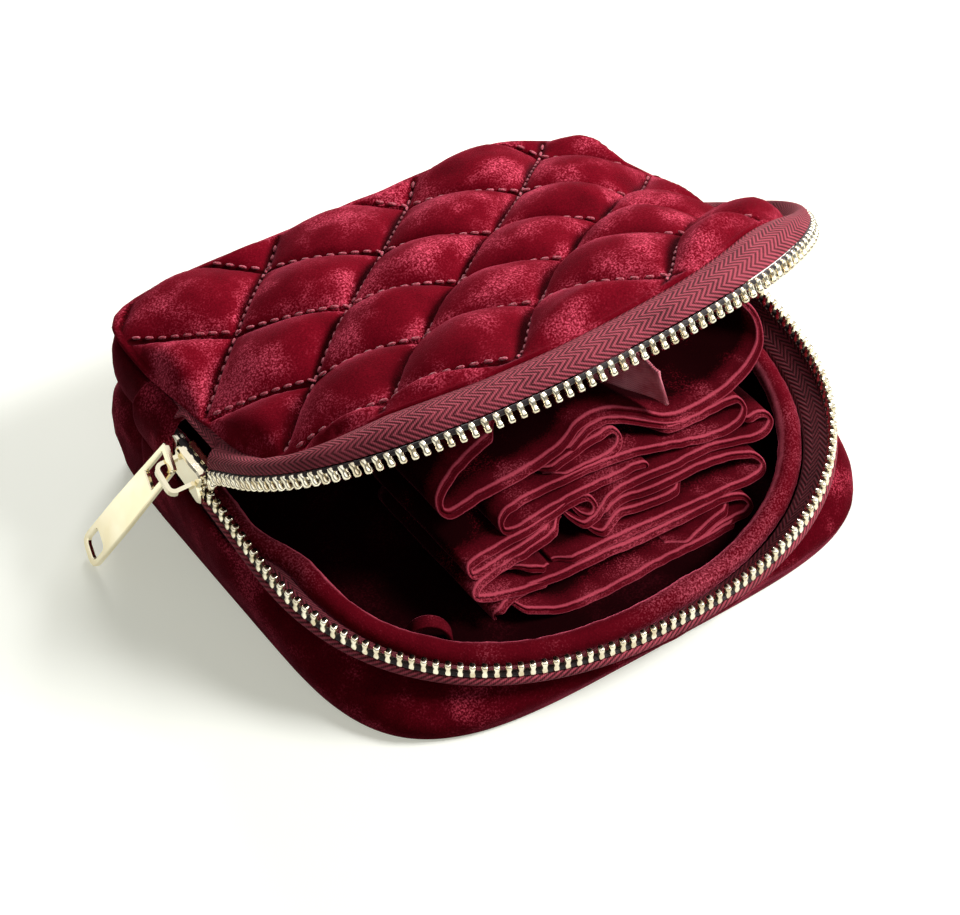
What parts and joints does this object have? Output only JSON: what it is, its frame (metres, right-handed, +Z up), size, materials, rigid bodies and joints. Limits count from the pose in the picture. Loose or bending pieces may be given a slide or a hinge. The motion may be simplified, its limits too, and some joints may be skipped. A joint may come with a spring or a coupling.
{
  "type": "jewelry case",
  "caption": "Velvet jewelry case with a quilted lid, a metal zip with slider and pull tab, and a folded velvet jewelry strip inside.",
  "frame": {"origin": "on the surface it stands on, under the middle of the case", "axes": "+Z up, -Y towards the open front, +X to the right seen from the front"},
  "size_m": [0.1863, 0.1496, 0.0927],
  "materials": {
    "outer_velvet": "crushed pile",
    "inner_velvet": "short pile",
    "zip_tape": "herringbone weave",
    "zip_metal": "polished",
    "pull_metal": "polished",
    "board": "matte"
  },
  "bodies": {
    "base": {"bottom_panel": "inner_velvet", "bottom_board": "board", "base_wall": "outer_velvet", "back_panel": "outer_velvet", "base_lining": "inner_velvet", "base_rim_roll": "outer_velvet", "base_zip_tape": "zip_tape", "base_zip_teeth": "zip_metal", "lid_teeth_end": "zip_metal", "left_end_tab": "outer_velvet", "right_end_tab": "outer_velvet", "bottom_stop": "zip_metal", "base_top_stop": "zip_metal", "insert_folded_strip": "outer_velvet", "insert_top_wrap": "outer_velvet", "insert_flap": "zip_tape", "ring_loop": "outer_velvet"},
    "lid": {"lid_quilted_panel": "outer_velvet", "lid_lining": "inner_velvet", "lid_zip_tape": "zip_tape", "lid_zip_teeth": "zip_metal", "lid_top_stop": "zip_metal"},
    "slider": {"slider": "pull_metal", "slider_bridge": "pull_metal"},
    "pull_tab": {"pull_tab": "pull_metal"}
  },
  "joints": [
    {"name": "lid_hinge", "type": "hinge", "parent": "base", "child": "lid", "pos_m": [-0.08, 0.012, 0.03448], "axis": [-0.9988, -0.0499, 0], "range_deg": [-44.5, 45], "deforming": ["lid_quilted_panel", "lid_lining", "lid_zip_tape", "lid_teeth_end"]},
    {"name": "slider_travel", "type": "slide", "parent": "base", "child": "slider", "axis": [0, -0.9851, -0.1717], "range_m": [0, 0.014]},
    {"name": "pull_swing", "type": "hinge", "parent": "slider", "child": "pull_tab", "pos_m": [-0.0865, 0.02069, 0.03934], "axis": [1, 0, 0], "range_deg": [-1, 150]}
  ]
}
